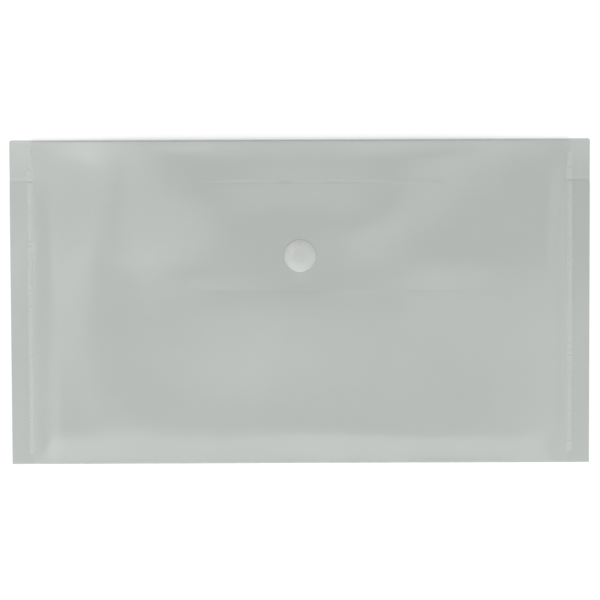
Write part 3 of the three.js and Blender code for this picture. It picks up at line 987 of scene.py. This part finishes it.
def seen_directly(tree):
    """1 for rays from the camera and for what shows in gloss and in clear things, and 0 for light."""
    path = tree.nodes.new("ShaderNodeLightPath")
    total = path.outputs["Is Camera Ray"]
    for name in ("Is Glossy Ray", "Is Transmission Ray"):
        largest = tree.nodes.new("ShaderNodeMath")
        largest.operation = "MAXIMUM"
        tree.links.new(total, largest.inputs[0])
        tree.links.new(path.outputs[name], largest.inputs[1])
        total = largest.outputs[0]
    return total


def map_range(tree, value, from_low, from_high, to_low, to_high):
    mapped = tree.nodes.new("ShaderNodeMapRange")
    mapped.inputs["From Min"].default_value = from_low
    mapped.inputs["From Max"].default_value = from_high
    mapped.inputs["To Min"].default_value = to_low
    mapped.inputs["To Max"].default_value = to_high
    tree.links.new(value, mapped.inputs["Value"])
    return mapped.outputs[0]


def floor_glow(tree):
    """Strength of the floor's glow: it grows away from the wallet's middle, and lights nothing."""
    place = tree.nodes.new("ShaderNodeTexCoord")
    distance = tree.nodes.new("ShaderNodeVectorMath")
    distance.operation = "LENGTH"
    tree.links.new(place.outputs["Object"], distance.inputs[0])
    seen = tree.nodes.new("ShaderNodeMath")
    seen.operation = "MULTIPLY"
    tree.links.new(seen_directly(tree), seen.inputs[0])
    (near, near_glow), (far, far_glow) = GLOW_NEAR, GLOW_FAR
    strength = map_range(tree, distance.outputs["Value"], near, far, near_glow, far_glow)
    tree.links.new(strength, seen.inputs[1])
    return seen.outputs[0]


def floor_paper():
    """Pale paper that is pure white where it is seen."""
    material = bpy.data.materials.new("floor")
    material.use_nodes = True
    tree = material.node_tree
    tree.nodes.clear()
    paper = tree.nodes.new("ShaderNodeBsdfDiffuse")
    paper.inputs["Color"].default_value = PAPER
    glow = tree.nodes.new("ShaderNodeEmission")
    tree.links.new(floor_glow(tree), glow.inputs["Strength"])
    both = tree.nodes.new("ShaderNodeAddShader")
    tree.links.new(paper.outputs[0], both.inputs[0])
    tree.links.new(glow.outputs[0], both.inputs[1])
    out = tree.nodes.new("ShaderNodeOutputMaterial")
    tree.links.new(both.outputs[0], out.inputs["Surface"])
    return material


def make_floor():
    corners = [(-1, -1), (1, -1), (1, 1), (-1, 1)]
    mesh = bpy.data.meshes.new("floor")
    mesh.from_pydata([(x * FLOOR_HALF, y * FLOOR_HALF, -FLOOR_DROP) for x, y in corners], [], [(0, 1, 2, 3)])
    mesh.materials.append(floor_paper())
    floor = bpy.data.objects.new("floor", mesh)
    bpy.context.scene.collection.objects.link(floor)


def make_world():
    """White where it is seen, and a weak light from all around elsewhere."""
    world = bpy.data.worlds.new("world")
    bpy.context.scene.world = world
    world.use_nodes = True
    tree = world.node_tree
    background = tree.nodes["Background"]
    background.inputs["Color"].default_value = (1, 1, 1, 1)
    strength = map_range(tree, seen_directly(tree), 0, 1, AMBIENT, 1)
    tree.links.new(strength, background.inputs["Strength"])


def lamp(name, place, width, depth, shine):
    """A soft lamp that faces down: a rectangle, or round where it has no depth. Its energy grows with its
    area, so that shine alone says how bright it looks."""
    light = bpy.data.lights.new(name, "AREA")
    light.size = width
    if depth:
        light.shape = "RECTANGLE"
        light.size_y = depth
        area = width * depth
    else:
        light.shape = "DISK"
        area = math.pi * (width / 2) ** 2
    light.energy = shine * math.pi * area
    made = bpy.data.objects.new(name, light)
    bpy.context.scene.collection.objects.link(made)
    made.location = place
    made.visible_camera = False
    return made


def make_lights():
    """Lamps over the wallet, and a softbox low in front that faces it."""
    for name, place, width, depth, shine, turn in CEILING_LAMPS:
        panel = lamp(name, place, width, depth, shine)
        panel.rotation_euler.z = math.radians(turn)
    softbox = lamp("low_front_softbox", SOFTBOX_PLACE, SOFTBOX_WIDTH, None, SOFTBOX_SHINE)
    softbox.rotation_euler = Vector(SOFTBOX_PLACE).to_track_quat("Z", "Y").to_euler()


make_camera()
materials = make_materials()
pocket_film(materials)
flap_film(materials)
weld("left_weld", -1, LEFT_TALL_RIBS, materials, random.Random(LEFT_SEED))
weld("right_weld", 1, RIGHT_TALL_RIBS, materials, random.Random(RIGHT_SEED))
outer_cap(materials)
socket(materials)
stud(materials)
inner_cap(materials)
make_floor()
make_world()
make_lights()
bpy.context.scene.view_settings.view_transform = "Standard"
